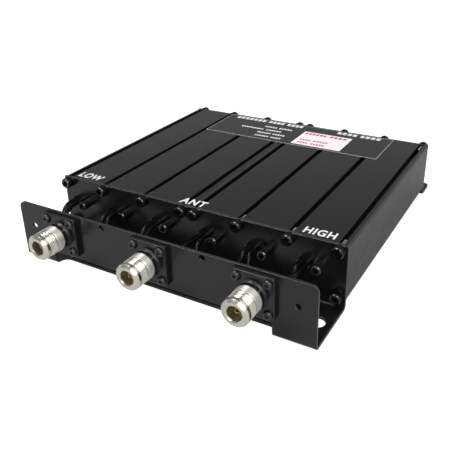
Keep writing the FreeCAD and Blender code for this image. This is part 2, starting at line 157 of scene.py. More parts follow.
def turned_grid(profile, segments, x, z, shape=None):
    """Rows of a profile of (y, radius) carried round a line along Y at x, z.

    shape may hold one array of radii for each row, where a row isn't a circle.
    """
    turn = np.linspace(0, 2 * math.pi, segments, endpoint=False)
    y = np.array([point[0] for point in profile])[:, None]
    radius = np.repeat(np.array([point[1] for point in profile])[:, None], segments, axis=1)
    for row, radii in (shape or {}).items():
        radius[row] = radii
    points = [x + radius * np.cos(turn), y + np.zeros_like(radius), z + radius * np.sin(turn)]
    return np.stack(points, axis=-1)


def hexagon_radius(across_flats, turn):
    """Distance from the middle of a hexagon to its side in each direction."""
    sector = math.pi / 3
    return across_flats / 2 / np.cos((turn + sector / 2) % sector - sector / 2)


def thread_rows(y_from, y_to, crest, depth, pitch, segments, per_turn=10):
    """Profile rows and radii of a thread: the radius falls by a cosine of (y over pitch + turn).

    The depth fades in and out over half a pitch at both ends, as a run-out does.
    """
    rows = max(2, int(abs(y_to - y_from) / pitch * per_turn))
    y = np.linspace(y_from, y_to, rows)
    turn = np.linspace(0, 2 * math.pi, segments, endpoint=False)
    phase = y[:, None] / pitch + turn[None, :] / (2 * math.pi)
    ends = np.minimum(np.abs(y - y_from), np.abs(y - y_to)) / (pitch / 2)
    fade = np.clip(ends, 0, 1)[:, None]
    groove = (0.5 - 0.5 * np.cos(2 * math.pi * phase)) ** GROOVE_POWER
    return y, crest - depth * fade * groove


def threaded_grid(before, thread, after, segments, x, z, shape=None):
    """A turned piece whose profile has a thread between two plain stretches."""
    y_thread, radii = thread
    profile = list(before) + [(y, 0.0) for y in y_thread] + list(after)
    shape = dict(shape or {})
    for step, row in enumerate(radii):
        shape[len(before) + step] = row
    return turned_grid(profile, segments, x, z, shape)


# Node materials

def linear(text, alpha=1.0):
    """An sRGB colour as written, #rrggbb, in linear numbers."""
    values = [int(text[at:at + 2], 16) / 255 for at in (1, 3, 5)]
    return tuple(v / 12.92 if v <= 0.04045 else ((v + 0.055) / 1.055) ** 2.4 for v in values) + (alpha,)


def add_node(tree, kind, sockets=None, **settings):
    """Adds a node; sockets maps an input to its value or to the output socket that feeds it."""
    made = tree.nodes.new(kind)
    for key, value in settings.items():
        setattr(made, key, value)
    for key, value in (sockets or {}).items():
        if isinstance(value, bpy.types.NodeSocket):
            tree.links.new(value, made.inputs[key])
        else:
            made.inputs[key].default_value = value
    return made


def empty_tree(owner):
    """The node tree of a material or world, switched on and emptied."""
    owner.use_nodes = True
    owner.node_tree.nodes.clear()
    return owner.node_tree


def calculate(tree, operation, *values):
    """The result of a math node."""
    return add_node(tree, "ShaderNodeMath", dict(enumerate(values)), operation=operation).outputs[0]


def map_range(tree, value, low, high, to_low=0.0, to_high=1.0):
    """A value that runs from low to high, made to run from to_low to to_high and no further."""
    made = add_node(tree, "ShaderNodeMapRange", {"Value": value, "From Min": low, "From Max": high,
                                                  "To Min": to_low, "To Max": to_high})
    return made.outputs["Result"]


def mix_colours(tree, amount, colour, other):
    """One sRGB colour turned into the other as the amount goes from 0 to 1."""
    made = add_node(tree, "ShaderNodeMix", {0: amount, 6: linear(colour), 7: linear(other)},
                    data_type="RGBA")
    return made.outputs[2]


def start_material(name):
    """A material with a plain shader; returns its tree, its shader and the object coordinates."""
    material = bpy.data.materials.new(name)
    tree = empty_tree(material)
    shader = add_node(tree, "ShaderNodeBsdfPrincipled")
    add_node(tree, "ShaderNodeOutputMaterial", {"Surface": shader.outputs["BSDF"]})
    place_at = add_node(tree, "ShaderNodeTexCoord").outputs["Object"]
    return material, tree, shader, place_at


def set_shader(shader, colour, **others):
    """Gives a shader its sRGB colour and the values of other inputs."""
    shader.inputs["Base Color"].default_value = linear(colour)
    for key, value in others.items():
        shader.inputs[key].default_value = value


def grain(tree, place_at, size_mm, low, high):
    """Noise whose spots measure size_mm, mapped from its usual 0.3 to 0.7 to run from low to high."""
    noise = add_node(tree, "ShaderNodeTexNoise", {"Vector": place_at, "Scale": 1 / (size_mm * MM)})
    return map_range(tree, noise.outputs["Fac"], 0.3, 0.7, low, high)


def uneven_gloss(tree, shader, place_at, size_mm, low, high):
    """Roughness that wanders from low to high in spots of size_mm."""
    tree.links.new(grain(tree, place_at, size_mm, low, high), shader.inputs["Roughness"])


def bump(tree, shader, place_at, size_mm, depth_mm, strength, edge_mm=0.0):
    """Bumps of a real size and depth; edge_mm softens sharp edges as paint and tumbling do."""
    height = grain(tree, place_at, size_mm, 0.0, 1.0)
    made = add_node(tree, "ShaderNodeBump", {"Height": height, "Distance": depth_mm * MM,
                                              "Strength": strength})
    if edge_mm:
        soft = add_node(tree, "ShaderNodeBevel", {"Radius": edge_mm * MM}, samples=4)
        tree.links.new(soft.outputs["Normal"], made.inputs["Normal"])
    tree.links.new(made.outputs["Normal"], shader.inputs["Normal"])


def painted_edge_highlight(tree, shader, colour, highlight_colour, edge_mm):
    """A painted highlight: grey painted on sharp edges that face up, where light from above catches them.

    An edge is where the softened normal leaves the true one, so that their product falls below one.
    """
    soft = add_node(tree, "ShaderNodeBevel", {"Radius": edge_mm * MM}, samples=4).outputs["Normal"]
    true = add_node(tree, "ShaderNodeNewGeometry").outputs["True Normal"]
    along = add_node(tree, "ShaderNodeVectorMath", {0: soft, 1: true}, operation="DOT_PRODUCT")
    edge_highlight_mask = map_range(tree, along.outputs["Value"], 0.98, 0.78)
    up = add_node(tree, "ShaderNodeSeparateXYZ", {0: soft}).outputs["Z"]
    # The painted highlight grows on edges whose softened normal points up, towards the light.
    amount = calculate(tree, "MULTIPLY", edge_highlight_mask, map_range(tree, up, 0.2, 0.6))
    tree.links.new(mix_colours(tree, amount, colour, highlight_colour), shader.inputs["Base Color"])


def powder_coat():
    """Aluminium extrusion with satin black powder coat: near black, with a fine soft texture."""
    material, tree, shader, place_at = start_material("satin_black_powder_coat")
    set_shader(shader, "#0a0a0b", IOR=1.5)
    uneven_gloss(tree, shader, place_at, 6.0, 0.30, 0.37)
    bump(tree, shader, place_at, size_mm=0.5, depth_mm=0.004, strength=0.6, edge_mm=0.7)
    return material


def sheet_enamel():
    """Folded sheet in baked black enamel: mirrors its surroundings softly, with orange peel and a painted
    highlight on edges that face up.
    """
    material, tree, shader, place_at = start_material("gloss_black_enamel")
    colour = "#131313"
    set_shader(shader, colour, IOR=1.5)
    uneven_gloss(tree, shader, place_at, 9.0, 0.19, 0.26)
    bump(tree, shader, place_at, size_mm=2.0, depth_mm=0.006, strength=0.5, edge_mm=0.8)
    # Painted highlight: grey on the upward sharp edges stands in for light catching them.
    painted_edge_highlight(tree, shader, colour, "#5e5e5f", edge_mm=0.5)
    return material


def plated(name, colour, dark, roughness, turned=False):
    """Bare or plated metal whose tone and gloss are slightly uneven.

    The rings that a lathe leaves are too fine to draw, so on turned metal they stretch the highlight.
    """
    material, tree, shader, place_at = start_material(name)
    set_shader(shader, colour, Metallic=1.0)
    spot_mm = 4.0
    tone = grain(tree, place_at, spot_mm, 0.0, 1.0)
    tree.links.new(mix_colours(tree, tone, colour, dark), shader.inputs["Base Color"])
    uneven_gloss(tree, shader, place_at, spot_mm, roughness * 0.93, roughness * 1.07)
    if turned:
        shader.inputs["Anisotropic"].default_value = 0.8
        shader.inputs["Anisotropic Rotation"].default_value = 0.25
        around = add_node(tree, "ShaderNodeTangent", direction_type="RADIAL", axis="Y")
        tree.links.new(around.outputs["Tangent"], shader.inputs["Tangent"])
    return material


def black_oxide(name, roughness, index=1.7):
    """Black oxide steel: a dense black skin of iron oxide, whose highlight is cleaner where it is oiled."""
    material, tree, shader, place_at = start_material(name)
    set_shader(shader, "#080809", IOR=index)
    uneven_gloss(tree, shader, place_at, 0.6, roughness * 0.8, roughness * 1.2)
    bump(tree, shader, place_at, size_mm=0.3, depth_mm=0.003, strength=0.5)
    return material


def plain(name, colour, roughness, **others):
    """A dull or glossy even finish, such as vinyl, ink or a moulded plastic, with uneven gloss."""
    material, tree, shader, place_at = start_material(name)
    set_shader(shader, colour, **others)
    spot_mm, spread = 1.5, 0.04
    uneven_gloss(tree, shader, place_at, spot_mm, roughness - spread, roughness + spread)
    return material


MATERIALS = {}


def make_materials():
    """Makes every material and keeps it under a short name."""
    look = bpy.context.scene.duplexer_look
    MATERIALS.update({
        "block": powder_coat(),
        "sheet": sheet_enamel(),
        "nickel": plated("nickel_plated_brass", "#dfddd0", "#d6d4c6", 0.24),
        # Painted highlight: the collar is the barrel's nickel in a lighter colour; its turned rings, which
        # stretch the highlight, are real.
        "collar": plated("turned_nickel_collar_painted_lighter", "#f0efe8", "#e8e7de", 0.55, turned=True),
        "socket": plated("silver_plated_bore", "#e8e4d4", "#d6d1bc", 0.34),
        "gold": plated("gold_plated_brass", "#a48a45", "#84703a", 0.3),
        "silver": plated("silver_plated_brass", "#dcdad2", "#cbc8be", 0.22, turned=True),
        "brass": plated("turned_brass", "#b5924c", "#9c7c3e", 0.28, turned=True),
        "oxide": black_oxide("oiled_black_oxide_steel", 0.15),
        "dry_oxide": black_oxide("dry_black_oxide_steel", 0.32),
        # Painted shade: a copy of the oxide with less gloss darkens the knurl and the sockets; the knurl's
        # greater roughness is real.
        "knurl": black_oxide("knurl_and_socket_oxide_painted_shade", 0.55, index=1.25),
        "insulator": plain("ptfe_insulator", "#a89f66", 0.5),
        "jacket": plain("gloss_pvc_jacket", "#070707", 0.26, IOR=1.28),
        "solder": plated("tin_solder", "#c9c8c2", "#a8a7a1", 0.3),
        "vinyl": plain("satin_vinyl_label", "#191a1c", 0.36),
        "sticker": plain("white_paper_sticker", "#fff3f6", 0.55),
        "red_ink": plain("red_ink", "#cc5573", 0.6),
        "white_ink": plain("white_screen_print", look.print_colour_hex, 0.5),
        "rim": plain("grey_printed_border", "#a2a3a6", 0.6),
    })


# The finish of each kept node; the first pattern that its name fits counts

KEPT_FINISHES = (
    ("*_cavity_block", "block"), ("front_bracket", "sheet"), ("rear_cover", "sheet"),
    ("*_cover_washers", "oxide"), ("resonator_screws", "oxide"), ("resonator_*", "silver"),
    ("*jack_insulator", "insulator"), ("*jack_contact", "gold"), ("*lead*", "jacket"),
    ("coupling_probe*", "brass"), ("tap_ferrule*", "oxide"), ("tuning_bushing*", "oxide"),
)


# Pieces that stand for nodes

def jack_barrel(jack, segments):
    """Nickel barrel of a jack: collar, undercut, helical thread, chamfered nose and socket, as one ring.

    It starts a little inside the flange's step. Edges are broken by an edge or, where it is sharper, by
    a hair. The faces of the socket and of the undercut take the second material, the collar's the third,
    the barrel's nickel in a lighter colour, a painted highlight.
    """
    centre = middle(jack + "_jack_body")
    nose_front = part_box(jack + "_jack_body")[0].y
    step_end = FLANGE_FRONT - NECK_LENGTH - STEP_LENGTH
    collar_end = step_end - COLLAR_LENGTH
    thread_start = collar_end - UNDERCUT_LENGTH
    thread_end = thread_start - THREAD_LENGTH
    nose_start = thread_end - GROOVE_LENGTH
    root = CREST_RADIUS - UNDERCUT_DEPTH
    start = step_end + BARREL_OVERLAP
    edge, hair = 0.25 * MM, 0.06 * MM
    before = [
        (start, TAIL_BORE), (start, CREST_RADIUS - edge), (step_end - hair, CREST_RADIUS - edge),
        (step_end - edge, CREST_RADIUS), (collar_end + edge, CREST_RADIUS),
        (collar_end, CREST_RADIUS - edge), (collar_end, root + hair), (collar_end - hair, root),
        (thread_start + hair, root), (thread_start, CREST_RADIUS - THREAD_DEPTH),
    ]
    thread = thread_rows(thread_start - hair, thread_end + hair, CREST_RADIUS, THREAD_DEPTH,
                         THREAD_PITCH, segments)
    rim = CREST_RADIUS - NOSE_CHAMFER
    mouth = SOCKET_RADIUS + SOCKET_CHAMFER
    chamfer_end = nose_front + NOSE_CHAMFER
    socket_end = nose_front + SOCKET_DEPTH
    after = [
        (thread_end, CREST_RADIUS - edge), (thread_end, CREST_RADIUS - GROOVE_DEPTH),
        (nose_start, CREST_RADIUS - GROOVE_DEPTH), (nose_start, CREST_RADIUS - hair),
        (nose_start - hair, CREST_RADIUS), (chamfer_end + hair, CREST_RADIUS),
        (chamfer_end - hair, CREST_RADIUS - hair), (nose_front + hair, rim + hair),
        (nose_front, rim - hair), (nose_front, mouth + hair), (nose_front + hair, mouth - hair),
        (nose_front + SOCKET_CHAMFER, SOCKET_RADIUS), (socket_end, SOCKET_RADIUS), (socket_end, TAIL_BORE),
    ]
    grid = threaded_grid(before, thread, after, segments, centre.x, centre.z)
    barrel = build(jack + "_jack_barrel", [grid], wrap_rows=True, smooth_angle=40)
    numbers = np.zeros(len(barrel.data.polygons), dtype=np.int32)
    for face in barrel.data.polygons:
        if math.hypot(face.center.x - centre.x, face.center.z - centre.z) < SOCKET_RADIUS:
            numbers[face.index] = 1
        # The collar takes the lighter nickel, a painted highlight.
        elif face.center.y > collar_end:
            numbers[face.index] = 2
        elif face.center.y > thread_start:
            numbers[face.index] = 1
    barrel.data.polygons.foreach_set("material_index", numbers)
    return barrel


def rounded_square(half, corner, per_corner):
    """Outline points of a square with round corners, counterclockwise, corner by corner."""
    points = []
    for quarter in range(4):
        turn = quarter * math.pi / 2 + np.linspace(0, math.pi / 2, per_corner)
        centre = quarter * math.pi / 2 + math.pi / 4
        reach = (half - corner) * math.sqrt(2)
        points.append(np.stack([reach * math.cos(centre) + corner * np.cos(turn),
                                reach * math.sin(centre) + corner * np.sin(turn)], axis=-1))
    return np.concatenate(points)


def evenly(outline, spacing):
    """The closed outline with more points along its straight sides, spacing apart."""
    following = np.roll(outline, -1, axis=0)
    finer = []
    for start, end in zip(outline, following):
        steps = max(1, int(np.linalg.norm(end - start) / spacing))
        finer.append(start + (end - start) * np.linspace(0, 1, steps, endpoint=False)[:, None])
    return np.concatenate(finer)


def jack_flange(jack):
    """Square flange with its stepped neck: circles that widen to a square with round corners."""
    centre = middle(jack + "_jack_body")
    outline = evenly(rounded_square(FLANGE_HALF, FLANGE_CORNER, per_corner=9), OUTLINE_SPACING)
    turn = np.arctan2(outline[:, 1], outline[:, 0])
    circle = np.stack([np.cos(turn), np.sin(turn)], axis=-1)
    neck_end = FLANGE_FRONT - NECK_LENGTH
    step_end = neck_end - STEP_LENGTH
    edge, hair = 0.3 * MM, 0.12 * MM
    rows = [(step_end, circle * (CREST_RADIUS - edge)), (step_end, circle * (STEP_RADIUS - hair)),
            (step_end + hair, circle * STEP_RADIUS), (neck_end - hair, circle * STEP_RADIUS),
            (neck_end, circle * (STEP_RADIUS + hair)), (neck_end, circle * (NECK_RADIUS - hair)),
            (neck_end + hair, circle * NECK_RADIUS), (FLANGE_FRONT - hair, circle * NECK_RADIUS),
            (FLANGE_FRONT, circle * (NECK_RADIUS + hair)),
            (FLANGE_FRONT, outline * (1 - edge / FLANGE_HALF))]
    for bend in (0.25, 0.5, 0.75, 1.0):
        inset = edge * (1 - math.sin(bend * math.pi / 2))
        y = FLANGE_FRONT + edge * (1 - math.cos(bend * math.pi / 2))
        rows.append((y, outline * (1 - inset / FLANGE_HALF)))
    rows += [(PANEL_FRONT, outline), (PANEL_FRONT, circle * TAIL_RADIUS), (step_end, circle * TAIL_RADIUS)]
    grid = np.stack([np.column_stack([centre.x + ring[:, 0], np.full(len(ring), y), centre.z + ring[:, 1]])
                     for y, ring in rows])
    return build(jack + "_jack_flange", [grid], wrap_rows=True, smooth_angle=50)


def jack_tail(jack, segments=72):
    """Turned tail behind the flange: the tube through the panel with a chamfered rim."""
    centre = middle(jack + "_jack_body")
    tail_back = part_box(jack + "_jack_body")[1].y
    edge = 0.3 * MM
    profile = [(PANEL_FRONT, TAIL_BORE), (PANEL_FRONT, TAIL_RADIUS), (tail_back - edge, TAIL_RADIUS),
               (tail_back, TAIL_RADIUS - edge), (tail_back, TAIL_BORE)]
    grid = turned_grid(profile, segments, centre.x, centre.z)
    return build(jack + "_jack_tail", [grid], wrap_rows=True)


def in_metres(size, *names):
    """The named ones of a fastener's sizes, which are written in millimetres."""
    return [size[name] * MM for name in names]


def shank_grid(size, segments=32):
    """A screw's threaded shank from its head's underside to its end, as a closed turned piece."""
    shank, length, pitch = in_metres(size, "shank", "length", "pitch")
    plain_end, thread_from, step, tip, inset = 0.3 * MM, 0.4 * MM, 0.1 * MM, 0.5 * MM, 0.6 * MM
    before = [(0.0, 0.0), (0.0, shank), (plain_end, shank)]
    thread = thread_rows(thread_from, length - inset, shank, pitch / 2, pitch, segments, per_turn=5)
    after = [(length - tip, shank - step), (length, shank - inset), (length, 0.0)]
    return threaded_grid(before, thread, after, segments, 0.0, 0.0)


def button_head(size, turn_by, segments=48):
    """Socket floor, hexagon walls, crown and a dome that is a quarter of an ellipse."""
    head, rise, socket, depth = in_metres(size, "head", "height", "socket", "depth")
    turn = np.linspace(0, 2 * math.pi, segments, endpoint=False)
    hexagon = hexagon_radius(socket, turn + turn_by)
    crown, mouth, mouth_depth = 0.55 * head, 0.66 * socket, 0.1 * MM
    profile = [(-rise + depth, 0.0), (-rise + depth, 0.0), (-rise + mouth_depth, 0.0), (-rise, mouth)]
    dome = np.linspace(0, math.pi / 2, 9)
    profile += [(-rise * math.cos(t), crown + (head - crown) * math.sin(t)) for t in dome]
    profile += [(0.0, 0.0)]
    return turned_grid(profile, segments, 0.0, 0.0, {1: hexagon, 2: hexagon})


def cap_head(size, turn_by, teeth=40, segments=160):
    """Cylindrical head with a chamfered face, a hexagon socket and a straight knurl.

    Between its teeth the knurl's radius falls by the size of a sine, to the depth of a tooth.
    """
    head, rise, socket, depth = in_metres(size, "head", "height", "socket", "depth")
    turn = np.linspace(0, 2 * math.pi, segments, endpoint=False)
    hexagon = hexagon_radius(socket, turn + turn_by)
    tooth, chamfer, step, mouth_depth = 0.08 * MM, 0.45 * MM, 0.1 * MM, 0.15 * MM
    mouth = 0.62 * socket
    knurl = head - tooth * np.abs(np.sin(turn * teeth / 2))
    knurl_from, knurl_to, foot = -rise + chamfer + 0.2 * MM, -0.5 * MM, -0.3 * MM
    profile = [(-rise + depth, 0.0), (-rise + depth, 0.0), (-rise + mouth_depth, 0.0), (-rise, mouth),
               (-rise, head - chamfer - step), (-rise + chamfer, head - step),
               (knurl_from, 0.0), (knurl_to, 0.0),
               (foot, head - 0.15 * MM), (0.0, head - 0.25 * MM), (0.0, 0.0)]
    return turned_grid(profile, segments, 0.0, 0.0, {1: hexagon, 2: hexagon, 6: knurl, 7: knurl})


# Sizes of the fasteners in millimetres; shanks, heads, bores, mouths and crests are radii

COVER_SCREW = {"shank": 2.0, "length": 10.0, "pitch": 0.7,
               "head": 3.5, "height": 4.0, "socket": 3.0, "depth": 2.0}
FLANGE_SCREW = {"shank": 1.5, "length": 8.0, "pitch": 0.5,
                "head": 2.85, "height": 1.8, "socket": 2.0, "depth": 1.0}
FLANGE_NUT = {"across_flats": 5.5, "thickness": 2.4, "bore": 1.55}
TUNING_SCREW = {"crest": 3.0, "thread_depth": 0.07, "pitch": 0.5,
                "socket": 2.8, "depth": 2.5, "mouth": 1.75}
WASHER_THICKNESS = 0.9 * MM

# Radians from one screw's turn to the next one's, so that no two stand alike

GOLDEN_TURN = 2.4


def separate_middles(node):
    """Middle of each separate solid of a node, in metres, from its loose parts."""
    work = bmesh.new()
    work.from_mesh(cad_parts[node].data)
    bmesh.ops.remove_doubles(work, verts=work.verts, dist=1e-6)
    middles, seen = [], set()
    for start in work.verts:
        if start in seen:
            continue
        group, edge_of_group = [], [start]
        seen.add(start)
        while edge_of_group:
            vertex = edge_of_group.pop()
            group.append(vertex.co[:])
            for edge in vertex.link_edges:
                other = edge.other_vert(vertex)
                if other not in seen:
                    seen.add(other)
                    edge_of_group.append(other)
        corners = np.array(group)
        middles.append(Vector((corners.min(axis=0) + corners.max(axis=0)) / 2))
    work.free()
    return sorted(middles, key=lambda at: (round(at.x, 5), round(at.z, 5)))


def screws(name, size, head, seat, way):
    """All screws of a node: each head is turned a little further than the one before it."""
    grids = []
    middles = separate_middles(name)
    for number, at in enumerate(middles):
        for grid in (head(size, number * GOLDEN_TURN), shank_grid(size)):
            grid[..., 1] *= way
            grids.append(grid + np.array([at.x, seat, at.z]))
    piece = build(name + "_turned", grids)
    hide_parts(name)
    if head is cap_head:
        number_faces(piece, middles, size, seat, way)
    return piece


def number_faces(piece, middles, size, seat, way):
    """Second material, a less glossy oxide that paints shade, for the knurl and the socket of cap screws,
    third for their shanks.

    On the head, a face far enough from its axis is the knurl's and one near enough the socket's.
    """
    centres = np.empty(len(piece.data.polygons) * 3)
    piece.data.polygons.foreach_get("center", centres)
    centres = centres.reshape(-1, 3)
    flat = centres[:, None, [0, 2]]
    axes = np.array([(at.x, at.z) for at in middles])
    away = np.linalg.norm(flat - axes[None], axis=-1).min(axis=1)
    knurl_from = size["head"] * MM - 0.12 * MM
    socket_to = size["shank"] * MM + 0.1 * MM
    # Knurl and socket take the less glossy oxide, which paints shade on them.
    dark = (away > knurl_from) | (away < socket_to)
    shank = (centres[:, 1] - seat) * way > 0
    numbers = np.where(shank, 2, np.where(dark, 1, 0))
    piece.data.polygons.foreach_set("material_index", numbers.astype(np.int32))


def nut_grid(size, x, z, y_from, turn_by, segments=96):
    """Hexagon nut with chamfered corners: each face falls away at 30 degrees outside a circle."""
    across_flats, thickness, bore = in_metres(size, "across_flats", "thickness", "bore")
    turn = np.linspace(0, 2 * math.pi, segments, endpoint=False)
    hexagon = hexagon_radius(across_flats, turn + turn_by)
    face_share, chamfer = 0.98, 0.25 * MM
    circle = np.full(segments, across_flats / 2 * face_share)
    fall = (hexagon - circle) * math.tan(math.radians(30))
    rings = [(bore, chamfer), (bore + chamfer, 0.0), (circle, 0.0), (hexagon, fall),
             (hexagon, thickness - fall), (circle, thickness), (bore + chamfer, thickness),
             (bore, thickness - chamfer)]
    grid = np.zeros((len(rings), segments, 3))
    for row, (radius, y) in enumerate(rings):
        grid[row, :, 0] = x + radius * np.cos(turn)
        grid[row, :, 1] = y_from + y
        grid[row, :, 2] = z + radius * np.sin(turn)
    return grid


def tuning_screw(number, segments=64):
    """Threaded rod with a hexagon socket in its front end."""
    node = "tuning_screw_%d" % number
    low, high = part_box(node)
    x, z = (low.x + high.x) / 2, (low.z + high.z) / 2
    crest, thread_depth, pitch = in_metres(TUNING_SCREW, "crest", "thread_depth", "pitch")
    socket, depth, mouth = in_metres(TUNING_SCREW, "socket", "depth", "mouth")
    mouth_depth, step, chamfer, inset = 0.15 * MM, 0.1 * MM, 0.5 * MM, 0.6 * MM
    turn = np.linspace(0, 2 * math.pi, segments, endpoint=False)
    hexagon = hexagon_radius(socket, turn + number * GOLDEN_TURN)
    before = [(low.y + depth, 0.0), (low.y + depth, 0.0), (low.y + mouth_depth, 0.0),
              (low.y, mouth), (low.y, crest - inset), (low.y + chamfer, crest - step)]
    thread = thread_rows(low.y + inset, high.y - inset, crest, thread_depth, pitch, segments, per_turn=4)
    after = [(high.y - chamfer, crest - step), (high.y, crest - chamfer), (high.y, 0.0)]
    grid = threaded_grid(before, thread, after, segments, x, z, {1: hexagon, 2: hexagon})
    piece = build(node + "_threaded", [grid], body=node)
    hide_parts(node)
    return piece


# A solder joint's radii, and how far its middle lies before the end of the jack's contact

SOLDER_RADII = (2.9 * MM, 1.9 * MM, 2.5 * MM)
SOLDER_FROM_END = 2.2 * MM


def blob_grid(centre, radii, segments=24, rings=13, swelling=0.06):
    """A lump whose surface is a sphere, scaled to its radii, with a slight uneven swelling."""
    up = np.linspace(-math.pi / 2, math.pi / 2, rings)[:, None]
    turn = np.linspace(0, 2 * math.pi, segments, endpoint=False)[None, :]
    swell = 1 + swelling * np.sin(2 * turn + 1) * np.cos(up)
    return np.stack([centre[0] + radii[0] * swell * np.cos(up) * np.cos(turn),
                     centre[1] + radii[1] * swell * np.cos(up) * np.sin(turn),
                     centre[2] + radii[2] * np.sin(up) * np.ones_like(turn)], axis=-1)


# Print on the top

PRINT_LIFT, INK_THICKNESS, PAPER_THICKNESS = 0.01 * MM, 0.02 * MM, 0.1 * MM

# A dash's step as a share of its height, and its length as a share of that step

DASH_STEP, DASH_LENGTH = 0.88, 0.74


def plate_grid(x_from, x_to, y_from, y_to, bottom, thickness):
    """A thin flat plate as a closed ring of rows, from its underside round its rim to its top."""
    corners = np.array([(x_from, y_from), (x_to, y_from), (x_to, y_to), (x_from, y_to)])
    centre = corners.mean(axis=0)
    rows = [(np.repeat(centre[None], 4, axis=0), bottom), (corners, bottom),
            (corners, bottom + thickness), (np.repeat(centre[None], 4, axis=0), bottom + thickness)]
    return np.stack([np.column_stack([xy, np.full(4, z)]) for xy, z in rows])


def plate(name, sides, bottom, thickness):
    """A thin flat piece; its sides are x_from, x_to, y_from and y_to in millimetres."""
    grid = plate_grid(*(value * MM for value in sides), bottom, thickness)
    return build(name, [grid], smooth_angle=20)


def print_word(text, x_from, x_to, y_from, height):
    """A port's name as a thin printed mesh on the top face, narrowed to the width that it has there."""
    name = "word_" + text.lower()
    curve = bpy.data.curves.new(name, "FONT")
    curve.body = text
    curve.size = 10.0 * MM
    curve.offset = 0.28 * MM
    curve.space_character = 1.12
    curve.extrude = 0.02 * MM
    flat = bpy.data.objects.new("flat_" + name, curve)
    bpy.context.scene.collection.objects.link(flat)
    bpy.context.view_layer.update()
    shaped = flat.evaluated_get(bpy.context.evaluated_depsgraph_get())
    mesh = bpy.data.meshes.new_from_object(shaped)
    bpy.data.objects.remove(flat)
    corners = np.empty(len(mesh.vertices) * 3)
    mesh.vertices.foreach_get("co", corners)
    corners = corners.reshape(-1, 3)
    low, high = corners.min(axis=0), corners.max(axis=0)
    scale = np.array([(x_to - x_from) / (high[0] - low[0]), height / (high[1] - low[1]), 1.0])
    corners = (corners - low) * scale + np.array([x_from, y_from, TOP + PRINT_LIFT])
    mesh.vertices.foreach_set("co", corners.ravel())
    mesh.name = name
    finish_with(place(name, mesh), MATERIALS["white_ink"])


def dashes(x_from, x_to, height):
    """The stretch cut into plain dashes, about as wide as letters of that height."""
    count = max(1, round((x_to - x_from) / (DASH_STEP * height)))
    step = (x_to - x_from) / count
    return [(x_from + number * step, x_from + (number + DASH_LENGTH) * step) for number in range(count)]


def bars(name, rows, bottom, finish, letters=True):
    """Plain dashes or bars in place of print: each row is (y_from, y_to, (x_from, x_to), ...)."""
    grids = []
    for y_from, y_to, *stretches in rows:
        for x_from, x_to in stretches:
            pieces = dashes(x_from, x_to, y_to - y_from) if letters else [(x_from, x_to)]
            for left, right in pieces:
                sides = (left * MM, right * MM, y_from * MM, y_to * MM)
                grids.append(plate_grid(*sides, bottom, INK_THICKNESS))
    finish_with(build(name, grids, smooth_angle=20), MATERIALS[finish])


# Places of the print on the top, in millimetres: each word's x_from, x_to and foot, the label and
# sticker as x_from, x_to, y_from, y_to, and the bars row by row

WORDS = {"LOW": (-92.0, -73.8, 22.5), "ANT": (-9.5, 8.1, 21.4), "HIGH": (71.8, 90.5, 22.1)}
LABEL = (-64.5, 74.9, 140.0, 182.0)
STICKER = (8.3, 46.9, 142.5, 170.2)
WHITE_BARS = [
    (176.0, 180.6, (-57.0, -29.5), (-27.5, -13.0), (-11.0, 3.6), (32.0, 48.5), (50.5, 67.0)),
    (165.9, 168.5, (-25.3, -14.5), (-13.0, -1.4)),
    (159.0, 161.4, (-43.0, -23.0), (-21.0, -7.6)),
    (152.0, 154.4, (-25.3, -13.5), (-12.0, -1.4)),
    (145.2, 147.6, (-24.0, -12.0), (-10.5, -1.6)),
]
BORDER_BARS = [
    (140.0, 140.45, (-64.5, 74.9)),
    (181.55, 182.0, (-64.5, 74.9)),
    (140.45, 181.55, (-64.5, -64.05), (74.45, 74.9)),
]
RED_BARS = [
    (164.6, 168.2, (10.2, 28.0), (30.2, 44.4)),
    (151.7, 154.3, (11.4, 20.5), (22.4, 34.0)),
    (145.4, 148.0, (11.6, 20.5), (22.4, 33.6)),
]


# What a user would change

class DuplexerLook(bpy.types.PropertyGroup):
    """Sizes and colours of the print and the studio."""

    word_height: FloatProperty(name="Word height", description="Height of the port names' capitals",
                               default=7.1 * MM, unit="LENGTH")
    print_colour_hex: StringProperty(name="Print colour", description="sRGB colour of the screen print",
                                     default="#e9e9ea")
    label_thickness: FloatProperty(name="Label thickness", description="Thickness of the vinyl label",
                                   default=0.25 * MM, unit="LENGTH")
    background: FloatVectorProperty(name="Background", description="Colour behind the duplexer",
                                    subtype="COLOR", size=3, default=(1.0, 1.0, 1.0))
    lamp_power: FloatProperty(name="Lamp power", description="Power of the soft box above, in watts",
                              default=6.6, min=0.0)
    thread_segments: IntProperty(name="Thread segments", description="Columns round each jack's thread",
                                 default=160, min=48, max=256)


class PieceOperator:
    """Settings that all the duplexer's operators share."""

    bl_options = {"REGISTER", "UNDO"}

    @classmethod
    def poll(cls, context):
        return context.scene is not None


class DUPLEXER_OT_finishes(PieceOperator, bpy.types.Operator):
    """Make the materials and give each kept node its own"""

    bl_idname = "duplexer.finishes"
    bl_label = "Finishes"

    def execute(self, context):
        make_materials()
        for node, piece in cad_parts.items():
            fitting = [finish for pattern, finish in KEPT_FINISHES if fnmatch(node, pattern)]
            if fitting:
                finish_with(piece, MATERIALS[fitting[0]])
        return {"FINISHED"}


class DUPLEXER_OT_jacks(PieceOperator, bpy.types.Operator):
    """Turn the three jacks: black flange and neck, nickel barrel with its thread, and tail"""

    bl_idname = "duplexer.jacks"
    bl_label = "Jacks"

    def execute(self, context):
        segments = context.scene.duplexer_look.thread_segments
        for jack in JACKS:
            barrel, flange, tail = jack_barrel(jack, segments), jack_flange(jack), jack_tail(jack)
            finish_with(barrel, MATERIALS["nickel"], MATERIALS["socket"], MATERIALS["collar"])
            finish_with(flange, MATERIALS["sheet"])
            finish_with(tail, MATERIALS["nickel"])
            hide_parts(jack + "_jack_body")
        return {"FINISHED"}


